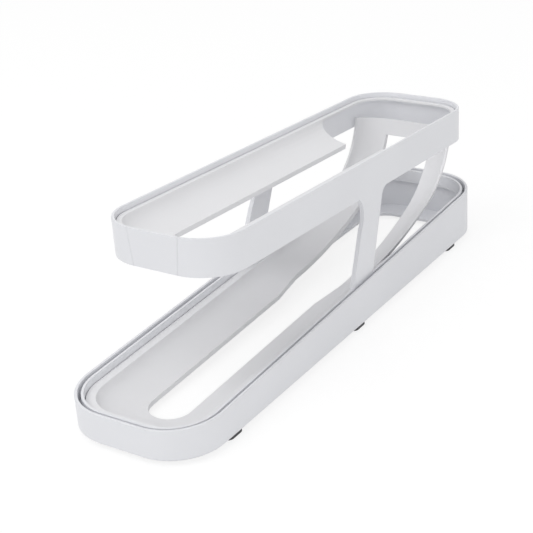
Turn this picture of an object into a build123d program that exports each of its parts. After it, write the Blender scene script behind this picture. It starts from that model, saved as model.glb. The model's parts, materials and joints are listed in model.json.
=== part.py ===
from build123d import *
from math import asin, cos, radians, sin, sqrt
import os

# A two-tier rolling egg dispenser in moulded plastic.
# Millimetres, +Z up, front (the end where eggs come to rest) towards -Y, X to the right seen from the front.
# The origin is on the table, under the middle of the base.

# Base tray
LENGTH = 354.0
WIDTH = 91.6
CORNER = 31.5
WALL = 1.8
BASE_BOTTOM = 2.7
BASE_RIM_FRONT = 21.2
BASE_RIM_REAR = 35.1
FLOOR = 2.0
FLOOR_SIDE_MARGIN = 15.0
FLOOR_END_MARGIN = 18.7
WINDOW_CORNER = 17.0
SHELF_DEPTH = 8.3
SHELF_WIDTH = 5.4
SHELF_REAR_WIDTH = 3.4
SHELF_WIDE_END = 30.0
SHELF_THICKNESS = 1.6
RIM_BEVEL = 0.4
BOTTOM_BEVEL = 1.2

# Feet
FOOT_LENGTH = 13.6
FOOT_WIDTH = 8.4
FOOT_CORNER = 3.7
FOOT_INSET = 1.4
FOOT_POCKET = 0.8
FOOT_BEVEL = 0.6
FOOT_ROWS = {"front": -133.0, "middle": 3.0, "rear": 130.5}

# Frame: lower ring, two struts and upper band in one moulding
RING_GAP = 1.7
RING_RIM_DROP = 0.6
UPPER_WIDTH = 80.2
UPPER_FRONT = -132.6
UPPER_REAR = 171.0
UPPER_CORNER = 25.8
UPPER_RIM_FRONT = 110.5
UPPER_RIM_REAR = 91.7
UPPER_HEIGHT = 22.0
LEDGE_WIDTH = 1.5
LEDGE_THICKNESS = 1.5
STRUT_THICKNESS = 2.8
STRUT_OVERLAP = 3.4
STRUT_FRONT_FOOT = -2.0
STRUT_REAR_FOOT = 22.0
STRUT_FRONT_BEND = (14.2, 60.5)
STRUT_FRONT_BULGE = (17.8, 69.5)
STRUT_FRONT_TOP = 14.2
STRUT_REAR_TOP = 43.0
STRUT_REAR_ROUND_RISE = 5.6
STRUT_REAR_ROUND_REACH = 6.1
STRUT_INTO_BAND = 2.0

# Tracks
TRACK_WALL = 1.6
TROUGH_SEMI_HEIGHT = 13.6
TROUGH_DEPTH = 12.5
TROUGH_BANDS = 6
NOSE_LENGTH = 36.0
NOSE_BOTTOM_CORNER = 12.5
SLOT_HALF = 13.0
SLOT_CORNER = 12.9
RAIL_WIDTH = 1.6
RAIL_TOP = 12.7
RAIL_BOTTOM = 15.6
LIP_THICKNESS = 1.6
RUNNING_GAP = 0.4
SEAT_GAP = 0.1
LOWER_LIP_DROP = 4.8
LOWER_TROUGH_HALF = 34.6
LOWER_STRAIGHT_END = 27.0
LOWER_LIP_TAPER = (18.0, 52.0)
CHUTE_RADII = (284.0, 50.0)
CHUTE_ANGLES = (17.8, 59.0)
CHUTE_SLOT_HALF = 17.0
CHUTE_BRIDGE_ANGLE = 10.0
CHUTE_CLEARANCE = 0.8
UPPER_LIP_DROP = 3.2
UPPER_TROUGH_HALF = 34.8
UPPER_TROUGH_END = 103.0
UPPER_END_RADIUS = 30.0
UPPER_END_CENTRE = (18.0, -22.0)

REACH = 400.0


def base_rim(y):
    share = (y + LENGTH / 2) / LENGTH
    return BASE_RIM_FRONT + (BASE_RIM_REAR - BASE_RIM_FRONT) * share


def upper_rim(y):
    share = (y - UPPER_FRONT) / (UPPER_REAR - UPPER_FRONT)
    return UPPER_RIM_FRONT + (UPPER_RIM_REAR - UPPER_RIM_FRONT) * share


def outline(width, front, rear, corner):
    """A rounded rectangle in plan, from the front line to the rear line."""
    return Pos(0, (front + rear) / 2) * RectangleRounded(width, rear - front, corner)


def base_outline(inset):
    return outline(WIDTH - 2 * inset, inset - LENGTH / 2, LENGTH / 2 - inset, CORNER - inset)


def upper_outline(inset):
    return outline(UPPER_WIDTH - 2 * inset, UPPER_FRONT + inset, UPPER_REAR - inset, UPPER_CORNER - inset)


def side_plate(points, thickness):
    """A side-view polygon of (y, z) points, as thick as given, centred on x = 0."""
    face = make_face(Plane.YZ * Polyline(*points, close=True))
    return extrude(face, thickness / 2, both=True)


def layer(rim, low_drop, high_drop):
    """All the space between two planes that lie the given drops under a sloping rim."""
    front, rear = -LENGTH, LENGTH
    points = [
        (front, rim(front) - low_drop),
        (rear, rim(rear) - low_drop),
        (rear, rim(rear) - high_drop),
        (front, rim(front) - high_drop),
    ]
    return side_plate(points, REACH)


def column(face):
    return extrude(Pos(0, 0, -REACH / 4) * face, REACH)


def ahead_of(y):
    return Pos(0, y - REACH / 2, 0) * Box(REACH, REACH, REACH)


def behind(y):
    return Pos(0, y + REACH / 2, 0) * Box(REACH, REACH, REACH)


def ring(outer, inner, space):
    return (column(outer) - column(inner)) & space


def edges_on_rim(solid, rim, drop):
    """The edges that lie all along the plane of a rim."""
    found = []
    for edge in solid.edges():
        spots = [edge.position_at(share) for share in (0.0, 0.37, 1.0)]
        if all(abs(spot.Z - (rim(spot.Y) - drop)) < 0.02 for spot in spots):
            found.append(edge)
    return found


def foot_places():
    x = WIDTH / 2 - FOOT_INSET - FOOT_WIDTH / 2
    for row, y in FOOT_ROWS.items():
        for side, sign in (("left", -1), ("right", 1)):
            yield f"foot_{row}_{side}", sign * x, y


def foot_plan():
    return RectangleRounded(FOOT_WIDTH, FOOT_LENGTH, FOOT_CORNER)


def make_base_tray():
    shell = extrude(Pos(0, 0, BASE_BOTTOM) * base_outline(0), REACH / 4)
    shell = chamfer(shell.faces().sort_by(Axis.Z)[0].edges(), BOTTOM_BEVEL)
    shell -= extrude(Pos(0, 0, BASE_BOTTOM + FLOOR) * base_outline(WALL), REACH / 4)
    shell &= layer(base_rim, REACH / 4, 0)
    shell = chamfer(edges_on_rim(shell, base_rim, 0), RIM_BEVEL)
    window = outline(
        WIDTH - 2 * FLOOR_SIDE_MARGIN,
        FLOOR_END_MARGIN - LENGTH / 2,
        LENGTH / 2 - FLOOR_END_MARGIN,
        WINDOW_CORNER,
    )
    shell -= extrude(window, BASE_BOTTOM + 2 * FLOOR)
    shelf_space = layer(base_rim, SHELF_DEPTH + SHELF_THICKNESS, SHELF_DEPTH)
    shell += ring(base_outline(WALL / 2), base_outline(WALL + SHELF_REAR_WIDTH), shelf_space)
    wide_part = ahead_of(SHELF_WIDE_END)
    shell += ring(base_outline(WALL / 2), base_outline(WALL + SHELF_WIDTH), shelf_space & wide_part)
    for _, x, y in foot_places():
        shell -= Pos(x, y) * extrude(foot_plan(), BASE_BOTTOM + FOOT_POCKET)
    return shell


def make_foot(x, y):
    foot = extrude(foot_plan(), BASE_BOTTOM + FOOT_POCKET)
    foot = chamfer(foot.faces().sort_by(Axis.Z)[0].edges(), FOOT_BEVEL)
    return Pos(x, y) * foot


def strut_face(low):
    """Side view of a strut: (y, z) with z counted up from the plane z = low."""
    front_foot = (STRUT_FRONT_FOOT, 0)
    front_bend = (STRUT_FRONT_BEND[0], STRUT_FRONT_BEND[1] - low)
    bulge = (STRUT_FRONT_BULGE[0], STRUT_FRONT_BULGE[1] - low)
    front_top = (STRUT_FRONT_TOP, upper_rim(STRUT_FRONT_TOP) - UPPER_HEIGHT - low)
    rear_top = (STRUT_REAR_TOP, upper_rim(STRUT_REAR_TOP) - UPPER_HEIGHT - low)
    rear_foot = (STRUT_REAR_FOOT, 0)
    lean = (rear_top[0] - rear_foot[0]) / (rear_top[1] - rear_foot[1])
    rise = STRUT_REAR_ROUND_RISE
    rear_low = (rear_top[0] - rise * lean, rear_top[1] - rise)
    rear_out = (rear_top[0] + STRUT_REAR_ROUND_REACH, rear_top[1])
    front_end = (front_top[0], front_top[1] + STRUT_INTO_BAND)
    rear_end = (rear_out[0], rear_out[1] + STRUT_INTO_BAND)
    wire = [
        Line(front_foot, front_bend),
        ThreePointArc(front_bend, bulge, front_top),
        Line(front_top, front_end),
        Line(front_end, rear_end),
        Line(rear_end, rear_out),
        Spline(rear_out, rear_low, tangents=((-1, 0), (-lean, -1))),
        Line(rear_low, rear_foot),
        Line(rear_foot, front_foot),
    ]
    return make_face(Curve() + wire)


def make_strut(side):
    """A strut that leans from the lower ring in to the upper band, on the side +1 or -1."""
    y = (STRUT_FRONT_FOOT + STRUT_REAR_FOOT) / 2
    low = base_rim(y) - RING_RIM_DROP - STRUT_OVERLAP
    x_low = WIDTH / 2 - WALL - RING_GAP
    x_high = UPPER_WIDTH / 2
    high = upper_rim(y) - UPPER_HEIGHT
    lean = (x_low - x_high) / (high - low)
    outward = Vector(1, 0, lean).normalized()
    plane = Plane(origin=(x_low, 0, low), x_dir=(0, 1, 0), z_dir=outward)
    strut = extrude(plane * strut_face(low), -STRUT_THICKNESS)
    return strut if side > 0 else mirror(strut, Plane.YZ)


def make_frame():
    ring_inset = WALL + RING_GAP
    lower = ring(
        base_outline(ring_inset),
        base_outline(ring_inset + WALL),
        layer(base_rim, SHELF_DEPTH - SEAT_GAP, RING_RIM_DROP),
    )
    lower = chamfer(edges_on_rim(lower, base_rim, RING_RIM_DROP), RIM_BEVEL)
    upper = ring(upper_outline(0), upper_outline(WALL), layer(upper_rim, UPPER_HEIGHT, 0))
    upper = chamfer(edges_on_rim(upper, upper_rim, 0), RIM_BEVEL)
    ledge_drop = UPPER_LIP_DROP + LIP_THICKNESS + SEAT_GAP
    ledge_space = layer(upper_rim, ledge_drop + LEDGE_THICKNESS, ledge_drop)
    ledge = ring(upper_outline(WALL / 2), upper_outline(WALL + LEDGE_WIDTH), ledge_space)
    return lower + upper + ledge + make_strut(1) + make_strut(-1)


def trough_inset(half, semi, depth):
    """How far the wall of an elliptical trough has come in at a depth under its lip."""
    return half * (1 - sqrt(1 - (depth / semi) ** 2))


def nose_body(half, semi, front, corner, extra):
    """The solid inside the trough's rounded front end, lofted from level outlines."""
    bottom = TROUGH_DEPTH + extra
    deepest = trough_inset(half, semi, bottom)
    sections = []
    for band in range(TROUGH_BANDS + 1):
        level = semi * sin(asin(bottom / semi) * band / TROUGH_BANDS)
        inset = trough_inset(half, semi, level)
        radius = corner + (NOSE_BOTTOM_CORNER - corner) * inset / deepest
        face = outline(2 * (half - inset), front + inset, front + 4 * half, radius)
        sections.append(Pos(0, 0, -level) * face)
    return loft(sections, ruled=True)


def trough_nose(half, front, corner):
    """The wall of the rounded front end in the track's own frame, with the lip at z = 0."""
    outer_semi = TROUGH_SEMI_HEIGHT + TRACK_WALL
    outer = nose_body(half + TRACK_WALL, outer_semi, front - TRACK_WALL, corner + TRACK_WALL, TRACK_WALL)
    inner = nose_body(half, TROUGH_SEMI_HEIGHT, front, corner, 0)
    return (outer - inner) & ahead_of(front + NOSE_LENGTH)


def end_face(solid):
    return solid.faces().sort_by(Axis.Y)[-1]


def slot_plan(front, end, end_half, grow):
    """The slot seen from above, grown all round, flared to its end half-width behind y = 0."""
    half = SLOT_HALF + grow
    plan = outline(2 * half, front - grow, end + 2 * half, SLOT_CORNER + grow)
    plan &= Pos(0, end - REACH / 2) * Rectangle(REACH, REACH)
    flare = Polyline(
        (-half, 0),
        (half, 0),
        (end_half + grow, end),
        (-end_half - grow, end),
        close=True,
    )
    return plan + make_face(flare)


def slot_cutter(front, end, end_half):
    plan = slot_plan(front, end, end_half, 0)
    return extrude(Pos(0, 0, -2 * TROUGH_SEMI_HEIGHT) * plan, 1.5 * TROUGH_SEMI_HEIGHT)


def slot_rail(front, end, end_half):
    """The thickened edge under the trough that runs along the slot and round its front."""
    plan = slot_plan(front, end, end_half, RAIL_WIDTH) - slot_plan(front, end, end_half, 0)
    return extrude(Pos(0, 0, -RAIL_BOTTOM) * plan, RAIL_BOTTOM - RAIL_TOP)


def section(x, low, high, width, y):
    """An upright rectangle across the track at y, from one depth to another."""
    return Plane.XZ.offset(-y) * Pos(x, (low + high) / 2) * Rectangle(width, high - low)


def bend(face, y, trim):
    """Sweeps a cross-section face up the two arcs of the chute, stopping short by the trim."""
    solids = []
    centre = Vector(0, y, CHUTE_RADII[0])
    turned = 0.0
    arcs = list(zip(CHUTE_RADII, CHUTE_ANGLES, (0, trim)))
    for index, (radius, angle, less) in enumerate(arcs):
        if index:
            step = CHUTE_RADII[index - 1] - radius
            way = radians(turned)
            centre = centre + Vector(0, step * sin(way), -step * cos(way))
        axis = Axis(centre, (1, 0, 0))
        solids.append(revolve(face, axis, revolution_arc=angle - less))
        face = face.rotate(axis, angle)
        turned += angle
    return solids


def place_lower(solid):
    slope = (BASE_RIM_REAR - BASE_RIM_FRONT) / LENGTH
    turn = Rot(X=Vector(0, 1, slope).get_angle(Vector(0, 1, 0)))
    return Pos(0, 0, base_rim(0) - LOWER_LIP_DROP) * turn * solid


def place_upper(solid):
    slope = (UPPER_RIM_REAR - UPPER_RIM_FRONT) / (UPPER_REAR - UPPER_FRONT)
    turn = Rot(X=-Vector(0, 1, slope).get_angle(Vector(0, 1, 0)))
    return Pos(0, 0, upper_rim(0) - UPPER_LIP_DROP) * turn * solid


def lower_lip(inset, front):
    """The lip of the lower track and its skirt, which run out beside the chute."""
    half = WIDTH / 2 - inset
    plan = base_outline(inset)
    taper_start, taper_end = LOWER_LIP_TAPER
    narrow = LOWER_TROUGH_HALF + TRACK_WALL / 2
    keep = Polyline(
        (-half - 1, -LENGTH),
        (half + 1, -LENGTH),
        (half + 1, taper_start),
        (narrow, taper_end),
        (-narrow, taper_end),
        (-half - 1, taper_start),
        close=True,
    )
    plan = plan & make_face(keep)
    lip = extrude(Pos(0, 0, -LIP_THICKNESS) * plan, LIP_THICKNESS)
    hole = outline(2 * LOWER_TROUGH_HALF, front, LENGTH, lower_corner())
    skirt_height = SHELF_DEPTH - LOWER_LIP_DROP - SEAT_GAP
    skirt_plan = base_outline(inset) - base_outline(inset + TRACK_WALL)
    skirt = extrude(Pos(0, 0, -skirt_height) * skirt_plan, skirt_height)
    return lip - column(hole) + (skirt & ahead_of(taper_start))


def lower_corner():
    return CORNER - (WIDTH / 2 - LOWER_TROUGH_HALF)


def make_lower_track():
    lip_inset = 2 * WALL + RING_GAP + RUNNING_GAP
    end = LOWER_STRAIGHT_END
    front = -LENGTH / 2 + (WIDTH / 2 - LOWER_TROUGH_HALF)
    slot_front = front + trough_inset(LOWER_TROUGH_HALF, TROUGH_SEMI_HEIGHT, TROUGH_DEPTH)
    nose = trough_nose(LOWER_TROUGH_HALF, front, lower_corner())
    straight = extrude(end_face(nose), end - front - NOSE_LENGTH)
    track = nose + straight + bend(end_face(straight), end, 0)
    track += slot_rail(slot_front, end, CHUTE_SLOT_HALF)
    for side in (-1, 1):
        x = side * (CHUTE_SLOT_HALF + RAIL_WIDTH / 2)
        track += bend(section(x, -RAIL_BOTTOM, -RAIL_TOP, RAIL_WIDTH, end), end, CHUTE_BRIDGE_ANGLE)
    track -= slot_cutter(slot_front, end, CHUTE_SLOT_HALF)
    slot_section = section(0, -1.5 * RAIL_BOTTOM, -TROUGH_SEMI_HEIGHT / 2, 2 * CHUTE_SLOT_HALF, end)
    for cutter in bend(slot_section, end, CHUTE_BRIDGE_ANGLE):
        track -= cutter
    track = place_lower(track + lower_lip(lip_inset, front))
    chute_room = upper_outline(WALL + CHUTE_CLEARANCE)
    return track - (behind(LOWER_LIP_TAPER[1]) - column(chute_room))


def make_upper_track():
    lip_inset = WALL + RUNNING_GAP
    side = UPPER_WIDTH / 2 - UPPER_TROUGH_HALF
    front = UPPER_FRONT + side
    slot_front = front + trough_inset(UPPER_TROUGH_HALF, TROUGH_SEMI_HEIGHT, TROUGH_DEPTH)
    nose = trough_nose(UPPER_TROUGH_HALF, front, UPPER_CORNER - side)
    straight = extrude(end_face(nose), UPPER_TROUGH_END - front - NOSE_LENGTH)
    shell = nose + straight + slot_rail(slot_front, UPPER_TROUGH_END, SLOT_HALF)
    shell -= slot_cutter(slot_front, UPPER_TROUGH_END, SLOT_HALF)
    away, down = UPPER_END_CENTRE
    scoop = Rot(Y=90) * Cylinder(UPPER_END_RADIUS, REACH / 2)
    shell -= Pos(0, UPPER_TROUGH_END + away, down) * scoop
    plan = upper_outline(lip_inset) - upper_outline(side)
    lip = extrude(Pos(0, 0, -LIP_THICKNESS) * plan, LIP_THICKNESS)
    return place_upper(shell + lip)


def write(name, shape):
    shape.label = name
    export_step(shape, f"parts/{name}.step")


def main():
    os.makedirs("parts", exist_ok=True)
    write("base_tray", make_base_tray())
    write("frame", make_frame())
    write("lower_track", make_lower_track())
    write("upper_track", make_upper_track())
    for name, x, y in foot_places():
        write(name, make_foot(x, y))


main()
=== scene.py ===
import json
from math import cos, radians, sin

import bpy
from mathutils import Matrix, Vector


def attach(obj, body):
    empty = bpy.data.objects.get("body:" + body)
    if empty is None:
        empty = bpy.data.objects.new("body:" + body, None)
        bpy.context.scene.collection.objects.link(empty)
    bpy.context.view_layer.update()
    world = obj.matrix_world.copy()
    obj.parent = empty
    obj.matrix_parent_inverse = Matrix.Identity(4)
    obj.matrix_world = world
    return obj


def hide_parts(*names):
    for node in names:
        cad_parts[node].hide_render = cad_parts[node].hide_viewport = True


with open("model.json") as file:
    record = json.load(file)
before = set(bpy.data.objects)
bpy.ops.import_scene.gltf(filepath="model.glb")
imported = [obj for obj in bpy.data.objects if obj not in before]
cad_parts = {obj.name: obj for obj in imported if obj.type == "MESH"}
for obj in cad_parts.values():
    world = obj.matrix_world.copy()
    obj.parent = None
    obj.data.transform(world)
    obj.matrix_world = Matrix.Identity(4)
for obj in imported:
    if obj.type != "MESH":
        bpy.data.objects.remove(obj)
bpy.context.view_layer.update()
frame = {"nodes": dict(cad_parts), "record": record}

# The photograph's view: degrees, metres, and the size of the picture in pixels
AZIMUTH = 34.36
ELEVATION = 25.15
ROLL = -3.99
DISTANCE = 0.7762
AIM = Vector((0.0, -0.02992, 0.0467))
FOCAL_PIXELS = 1307.5
PICTURE_PIXELS = 533
SENSOR_WIDTH = 36.0
CLIP_START = 0.01

# Sloping rims of the tray and the upper band: (y, z) of the front and the rear end, in metres
TRAY_RIM = ((-0.177, 0.0212), (0.177, 0.0351))
BAND_RIM = ((-0.1326, 0.1105), (0.171, 0.0917))

# Skins: lengths in metres, angles in degrees
WELD = 0.000002
FLAT_ANGLE = 0.3
EDGE_ROUND = 0.0002
FRAME_EDGE_ROUND = 0.00003
EDGE_SEGMENTS = 2
EDGE_ANGLE = 60.0
SHARP_ANGLE = 50.0
FACE_AREA_WEIGHT = 50

# Upright mould lines on the front of the upper band, in metres: grooves sunk by a bump and greyed with
# painted shade. They lean in as they go down.
LINE_FROM_MIDDLE = 0.01652
LINE_LEAN = 0.1
LINE_HALF_WIDTH = 0.00035
LINE_DEPTH = 0.00015
LINE_FADE = 0.0006
BETWEEN_TIERS = 0.07

# Plastic colours, as a fresh and a greyer tone
BODY_TONES = ((0.835, 0.842, 0.872, 1.0), (0.805, 0.812, 0.842, 1.0))
TRACK_TONES = ((0.835, 0.835, 0.852, 1.0), (0.805, 0.805, 0.822, 1.0))

# Plastic pattern: waves per metre, and the noise levels between which a patch starts and is full
CLOUD_SCALE = 14.0
GRAIN_SCALE = 2600.0
STREAK_SCALE = (900.0, 40.0, 900.0)
TONE_PATCH = (0.35, 0.7)
SCUFF_STREAK = (0.62, 0.8)
SCUFF_PATCH = (0.5, 0.62)

# How much each pattern greys the plastic. The greying along the mould lines is painted shade in their
# grooves.
CLOUD_TONE = 0.6
SCUFF_TONE = 0.25
LINE_PAINTED_SHADE = 3.0

# Plastic gloss and relief: roughness, refraction, and depths and heights in metres
SATIN = 0.36
CLOUD_ROUGHNESS = 0.1
GRAIN_ROUGHNESS = 0.06
SCUFF_ROUGHNESS = 0.12
RUBBED_POLISH = 0.08
RUBBED_START = -0.0022
RUBBED_FULL = -0.0004
PLASTIC_REFRACTION = 1.49
RIPPLE_DEPTH = 0.0002
RIPPLE_STRENGTH = 0.5
GRAIN_DEPTH = 0.00003
GRAIN_STRENGTH = 0.35

# Rubber of the feet
RUBBER_TONES = ((0.055, 0.055, 0.058, 1.0), (0.09, 0.09, 0.093, 1.0))
RUBBER_CLOUD_SCALE = 90.0
RUBBER_GRAIN_SCALE = 3000.0
RUBBER_ROUGHNESS = 0.7
RUBBER_GRAIN_ROUGHNESS = 0.15
RUBBER_GRAIN_DEPTH = 0.00005
RUBBER_GRAIN_STRENGTH = 0.5

# Studio: light of the surroundings, and how white the floor and backdrop look
WORLD_LIGHT = 0.61
BACKDROP_GLOW = 1.02
FLOOR_GLOW = 1.08
FLOOR_GLOW_SHARE = 0.75
FLOOR_SIZE = 12.0
FLOOR_COLOUR = (0.9, 0.9, 0.9, 1.0)
WHITE = (1.0, 1.0, 1.0, 1.0)

# Square lamps: place and width in metres, power in watts. All point at one spot.
LAMP_AIM = Vector((0.0, 0.0, 0.05))
LAMPS = {
    "key": ((-0.55, -1.0, 1.6), 1.2, 10.5),
    "fill": ((1.4, -0.8, 0.7), 1.2, 4.2),
    "top": ((-0.2, 0.2, 1.8), 1.0, 2.0),
}

# Socket numbers of a Mix node that mixes colours
MIX_SHARE, MIX_FIRST, MIX_SECOND, MIX_RESULT = 0, 6, 7, 2


class Signal:
    """A shader socket that takes part in Python sums by adding Math nodes."""

    def __init__(self, shader, socket):
        self.shader = shader
        self.socket = socket

    def math(self, operation, *values):
        inputs = dict(enumerate(values))
        return self.shader.add("Math", {"operation": operation}, inputs)

    def __add__(self, other):
        return self.math("ADD", self, other)

    def __radd__(self, other):
        return self.math("ADD", other, self)

    def __sub__(self, other):
        return self.math("SUBTRACT", self, other)

    def __rsub__(self, other):
        return self.math("SUBTRACT", other, self)

    def __mul__(self, other):
        return self.math("MULTIPLY", self, other)

    def __rmul__(self, other):
        return self.math("MULTIPLY", other, self)

    def __abs__(self):
        return self.math("ABSOLUTE", self)

    def rise(self, start, full):
        """0 before start, 1 past full, and a smooth step between them, upwards or downwards."""
        settings = {"interpolation_type": "SMOOTHSTEP"}
        return self.shader.add("MapRange", settings, {"Value": self, "From Min": start, "From Max": full})


class Shader:
    """The nodes of a new material or world, with one method for any node."""

    def __init__(self, owner):
        owner.use_nodes = True
        self.owner = owner
        self.tree = owner.node_tree
        self.tree.nodes.clear()

    def add(self, kind, settings=None, inputs=None, output=0):
        node = self.tree.nodes.new("ShaderNode" + kind)
        for name, value in (settings or {}).items():
            setattr(node, name, value)
        for name, value in (inputs or {}).items():
            if isinstance(value, Signal):
                self.tree.links.new(value.socket, node.inputs[name])
            else:
                node.inputs[name].default_value = value
        return Signal(self, node.outputs[output])

    def object_place(self):
        return self.add("TexCoord", output="Object")

    def axes(self, place):
        return [self.add("SeparateXYZ", None, {"Vector": place}, axis) for axis in "XYZ"]

    def noise(self, place, scale, detail):
        inputs = {"Vector": place, "Scale": scale, "Detail": detail}
        return self.add("TexNoise", None, inputs, "Fac")

    def stretched(self, place, scale):
        return self.add("Mapping", None, {"Vector": place, "Scale": scale})

    def mix_colour(self, share, first, second):
        inputs = {MIX_SHARE: share, MIX_FIRST: first, MIX_SECOND: second}
        return self.add("Mix", {"data_type": "RGBA"}, inputs, MIX_RESULT)

    def bump(self, height, distance, strength, normal=None):
        inputs = {"Height": height, "Distance": distance, "Strength": strength}
        if normal is not None:
            inputs["Normal"] = normal
        return self.add("Bump", None, inputs)

    def finish(self, surface, kind="Material"):
        out = self.tree.nodes.new("ShaderNodeOutput" + kind)
        self.tree.links.new(surface.socket, out.inputs["Surface"])
        return self.owner


def rim_height(y, rim):
    """How high a straight sloping rim is at y."""
    (front, front_height), (rear, rear_height) = rim
    slope = (rear_height - front_height) / (rear - front)
    return front_height + (y - front) * slope


def mould_lines(x, y, z):
    """1 along the two upright mould lines on the front of the upper band, 0 elsewhere."""
    band_front, band_top = BAND_RIM[0]
    line_place = LINE_FROM_MIDDLE + (z - band_top) * LINE_LEAN
    line = abs(abs(x) - line_place).rise(LINE_HALF_WIDTH, 0.0)
    on_front = y.rise(band_front + 2 * LINE_FADE, band_front + LINE_FADE)
    on_band = z.rise(BETWEEN_TIERS, BETWEEN_TIERS + LINE_FADE)
    return line * on_front * on_band


def moulded_plastic(name, tones, rim):
    """Satin white moulding with clouds, grain, scuffs and mould-line grooves greyed with painted shade,
    smoother from the rim up.
    """
    shader = Shader(bpy.data.materials.new(name))
    place = shader.object_place()
    x, y, z = shader.axes(place)
    clouds = shader.noise(place, CLOUD_SCALE, detail=3.0)
    grain = shader.noise(place, GRAIN_SCALE, detail=1.0)
    streaks = shader.noise(shader.stretched(place, STREAK_SCALE), 1.0, detail=2.0)
    scuffs = streaks.rise(*SCUFF_STREAK) * clouds.rise(*SCUFF_PATCH)
    rubbed = (z - rim_height(y, rim)).rise(RUBBED_START, RUBBED_FULL)
    lines = mould_lines(x, y, z)

    # The mould lines' share of the greyer tone is painted shade in their grooves; their bump below is
    # real relief
    grey = clouds.rise(*TONE_PATCH) * CLOUD_TONE + scuffs * SCUFF_TONE + lines * LINE_PAINTED_SHADE
    rough = SATIN + clouds * CLOUD_ROUGHNESS + grain * GRAIN_ROUGHNESS + scuffs * SCUFF_ROUGHNESS
    ripples = shader.bump(clouds, RIPPLE_DEPTH, RIPPLE_STRENGTH)
    grained = shader.bump(grain, GRAIN_DEPTH, GRAIN_STRENGTH, ripples)
    surface = shader.add("BsdfPrincipled", None, {
        "Base Color": shader.mix_colour(grey, *tones),
        "Roughness": rough - rubbed * RUBBED_POLISH,
        "IOR": PLASTIC_REFRACTION,
        "Normal": shader.bump(1.0 - lines, LINE_DEPTH, 1.0, grained),
    })
    return shader.finish(surface)


def rubber(name):
    """Matt grey rubber with pale dusty patches and a fine grain."""
    shader = Shader(bpy.data.materials.new(name))
    place = shader.object_place()
    clouds = shader.noise(place, RUBBER_CLOUD_SCALE, detail=3.0)
    grain = shader.noise(place, RUBBER_GRAIN_SCALE, detail=2.0)
    surface = shader.add("BsdfPrincipled", None, {
        "Base Color": shader.mix_colour(clouds, *RUBBER_TONES),
        "Roughness": RUBBER_ROUGHNESS + grain * RUBBER_GRAIN_ROUGHNESS,
        "Normal": shader.bump(grain, RUBBER_GRAIN_DEPTH, RUBBER_GRAIN_STRENGTH),
    })
    return shader.finish(surface)


def select_only(piece):
    bpy.ops.object.select_all(action="DESELECT")
    piece.select_set(True)
    bpy.context.view_layer.objects.active = piece


def apply_modifier(piece, kind, settings):
    modifier = piece.modifiers.new(kind.lower(), kind)
    for name, value in settings.items():
        setattr(modifier, name, value)
    bpy.ops.object.modifier_apply(modifier=modifier.name)


def round_edges(piece, width):
    apply_modifier(piece, "BEVEL", {
        "width": width,
        "segments": EDGE_SEGMENTS,
        "limit_method": "ANGLE",
        "angle_limit": radians(EDGE_ANGLE),
        "use_clamp_overlap": False,
    })


def moulding(node, body, name, slot, material):
    """A node's shape as one welded skin with rounded edges, which takes the node's place."""
    mesh = frame["nodes"][node].data.copy()
    piece = bpy.data.objects.new(name, mesh)
    bpy.context.collection.objects.link(piece)
    select_only(piece)
    bpy.ops.object.mode_set(mode="EDIT")
    bpy.ops.mesh.select_all(action="SELECT")
    bpy.ops.mesh.remove_doubles(threshold=WELD)
    bpy.ops.mesh.dissolve_limited(angle_limit=radians(FLAT_ANGLE))
    bpy.ops.object.mode_set(mode="OBJECT")
    round_edges(piece, FRAME_EDGE_ROUND if node == "frame" else EDGE_ROUND)
    bpy.ops.object.shade_smooth_by_angle(angle=radians(SHARP_ANGLE))
    apply_modifier(piece, "WEIGHTED_NORMAL", {"keep_sharp": True, "weight": FACE_AREA_WEIGHT})
    mesh.materials.clear()
    mesh.materials.append(material)
    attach(piece, body)
    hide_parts(node)


def place_camera():
    """The camera looks down from the right of the front, turned slightly about its own axis."""
    azimuth = radians(AZIMUTH)
    elevation = radians(ELEVATION)
    roll = radians(ROLL)
    back = Vector((sin(azimuth) * cos(elevation), -cos(azimuth) * cos(elevation), sin(elevation)))
    right = Vector((cos(azimuth), sin(azimuth), 0.0))
    up = back.cross(right)
    right, up = right * cos(roll) + up * sin(roll), up * cos(roll) - right * sin(roll)
    turn = Matrix((right, up, back)).transposed().to_4x4()
    bpy.ops.object.camera_add()
    camera = bpy.context.object
    camera.name = "camera"
    camera.matrix_world = Matrix.Translation(AIM + back * DISTANCE) @ turn
    camera.data.sensor_width = SENSOR_WIDTH
    camera.data.lens = FOCAL_PIXELS * SENSOR_WIDTH / PICTURE_PIXELS
    camera.data.clip_start = CLIP_START
    bpy.context.scene.camera = camera


def place_lamp(name, place, width, power):
    bpy.ops.object.light_add(type="AREA", location=place)
    lamp = bpy.context.object
    lamp.name = name
    lamp.rotation_euler = (LAMP_AIM - Vector(place)).to_track_quat("-Z", "Y").to_euler()
    lamp.data.size = width
    lamp.data.energy = power


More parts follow.
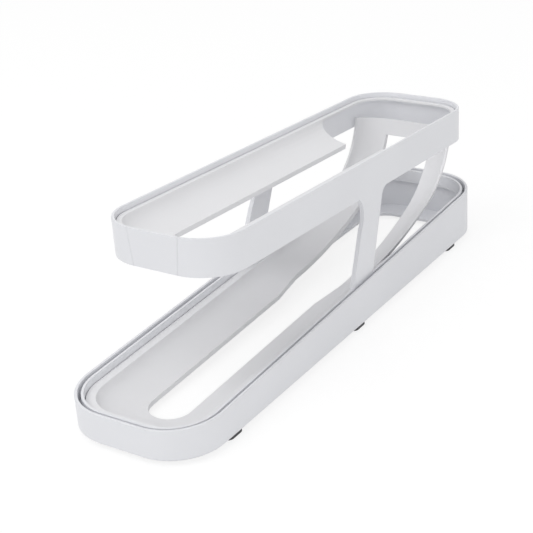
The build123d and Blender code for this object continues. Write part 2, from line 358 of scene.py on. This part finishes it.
def seen_directly(shader):
    """1 for a ray from the camera, or one that a gloss or a clear layer sent on."""
    names = ("Is Camera Ray", "Is Glossy Ray", "Is Transmission Ray")
    seen, glossy, clear = [shader.add("LightPath", output=name) for name in names]
    return seen.math("MAXIMUM", seen, glossy.math("MAXIMUM", glossy, clear))


def studio_floor():
    """A floor that looks white and keeps part of the object's shadow."""
    bpy.ops.mesh.primitive_plane_add(size=FLOOR_SIZE, location=(0, 0, 0))
    floor = bpy.context.object
    floor.name = "studio_floor"
    shader = Shader(bpy.data.materials.new("studio_white"))
    lit = shader.add("BsdfDiffuse", None, {"Color": FLOOR_COLOUR})
    glow = shader.add("Emission", None, {"Color": WHITE, "Strength": FLOOR_GLOW})
    share = seen_directly(shader) * FLOOR_GLOW_SHARE
    surface = shader.add("MixShader", None, {0: share, 1: lit, 2: glow})
    floor.data.materials.append(shader.finish(surface))


def studio_world():
    """Even light from all round, seen as a white backdrop."""
    shader = Shader(bpy.data.worlds.new("studio_world"))
    strength = WORLD_LIGHT + seen_directly(shader) * (BACKDROP_GLOW - WORLD_LIGHT)
    sky = shader.add("Background", None, {"Color": WHITE, "Strength": strength})
    bpy.context.scene.world = shader.finish(sky, "World")


body_plastic = moulded_plastic("body_plastic_satin", BODY_TONES, TRAY_RIM)
track_plastic = moulded_plastic("track_plastic_satin", TRACK_TONES, BAND_RIM)
foot_rubber = rubber("foot_rubber_grey")

# For each moulding, its skin's name, its slot and its material. Every other node is a foot.
FINISHES = {
    "base_tray": ("tray_moulding", "body_plastic", body_plastic),
    "frame": ("frame_moulding", "body_plastic", body_plastic),
    "lower_track": ("lower_track_moulding", "track_plastic", track_plastic),
    "upper_track": ("upper_track_moulding", "track_plastic", track_plastic),
}
for body, nodes in frame["record"]["behaviour"]["bodies"].items():
    for node in nodes:
        finish = FINISHES.get(node, (node + "_pad", "foot_rubber", foot_rubber))
        moulding(node, body, *finish)

bpy.context.scene.view_settings.view_transform = "Standard"
studio_floor()
studio_world()
for name, lamp in LAMPS.items():
    place_lamp(name, *lamp)
place_camera()
